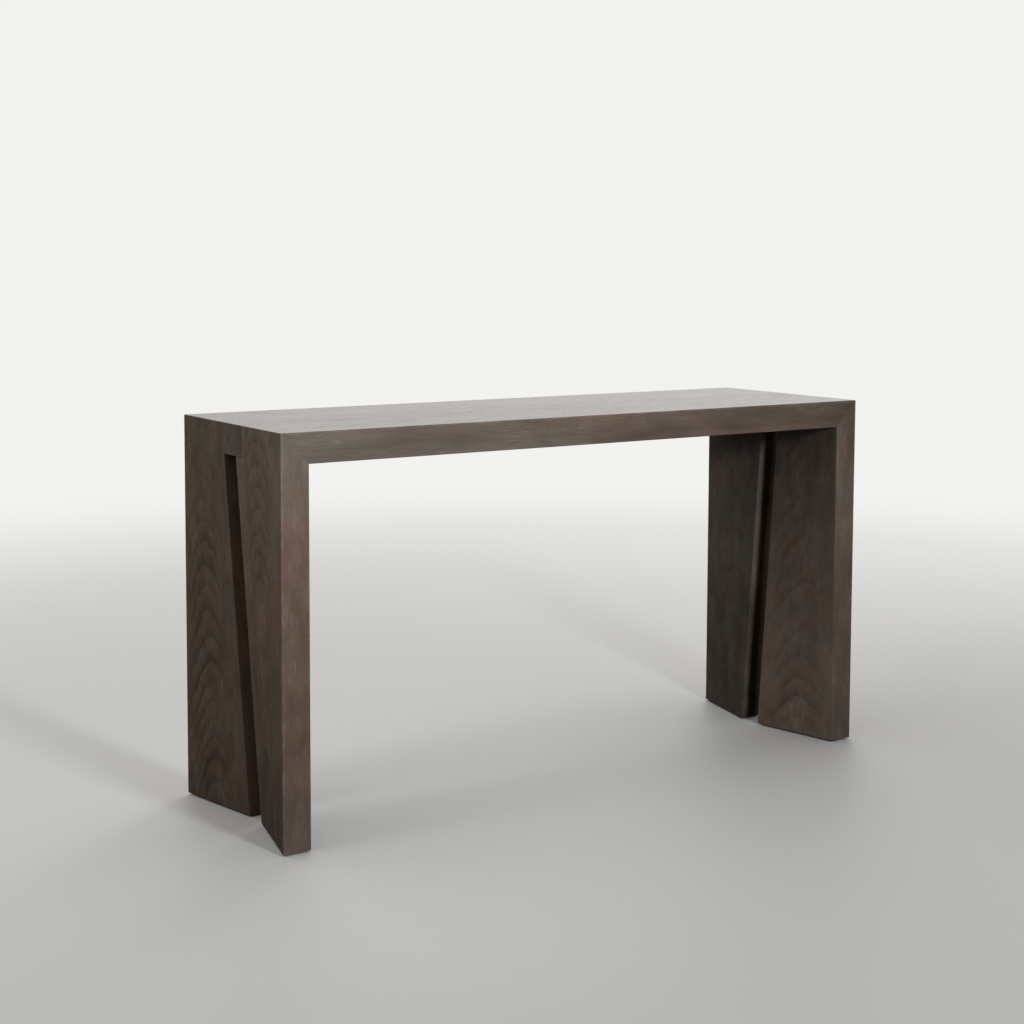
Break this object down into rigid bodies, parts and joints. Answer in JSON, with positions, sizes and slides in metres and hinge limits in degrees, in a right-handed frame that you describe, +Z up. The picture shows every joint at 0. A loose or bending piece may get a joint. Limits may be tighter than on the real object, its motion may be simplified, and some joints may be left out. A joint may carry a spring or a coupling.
{
  "type": "sofa table",
  "caption": "Waterfall sofa table in dark stained oak: a thick mitred slab top on slab ends, each split by a slot whose edges wind inwards to the floor.",
  "frame": {"origin": "on the floor, midway along the length and the depth", "axes": "+X along the length, +Y from front to rear, +Z up"},
  "size_m": [1.395, 0.435, 0.762],
  "materials": {
    "stained_oak": "satin stain",
    "beech": "bare",
    "glide_nylon": "matte",
    "nail_steel": "bright"
  },
  "bodies": {
    "root": {"front_seam_tenons": "beech", "left_bridge_block": "stained_oak", "left_bridge_dowels": "beech", "left_bridge_tenon": "beech", "left_front_glide_nails": "nail_steel", "left_front_glides": "glide_nylon", "left_front_mitre_tenons": "beech", "left_front_plank": "stained_oak", "left_rear_glide_nails": "nail_steel", "left_rear_glides": "glide_nylon", "left_rear_mitre_tenons": "beech", "left_rear_plank": "stained_oak", "rear_seam_tenons": "beech", "right_bridge_block": "stained_oak", "right_bridge_dowels": "beech", "right_bridge_tenon": "beech", "right_front_glide_nails": "nail_steel", "right_front_glides": "glide_nylon", "right_front_mitre_tenons": "beech", "right_front_plank": "stained_oak", "right_rear_glide_nails": "nail_steel", "right_rear_glides": "glide_nylon", "right_rear_mitre_tenons": "beech", "right_rear_plank": "stained_oak", "top_front_board": "stained_oak", "top_middle_board": "stained_oak", "top_rear_board": "stained_oak"}
  },
  "joints": []
}
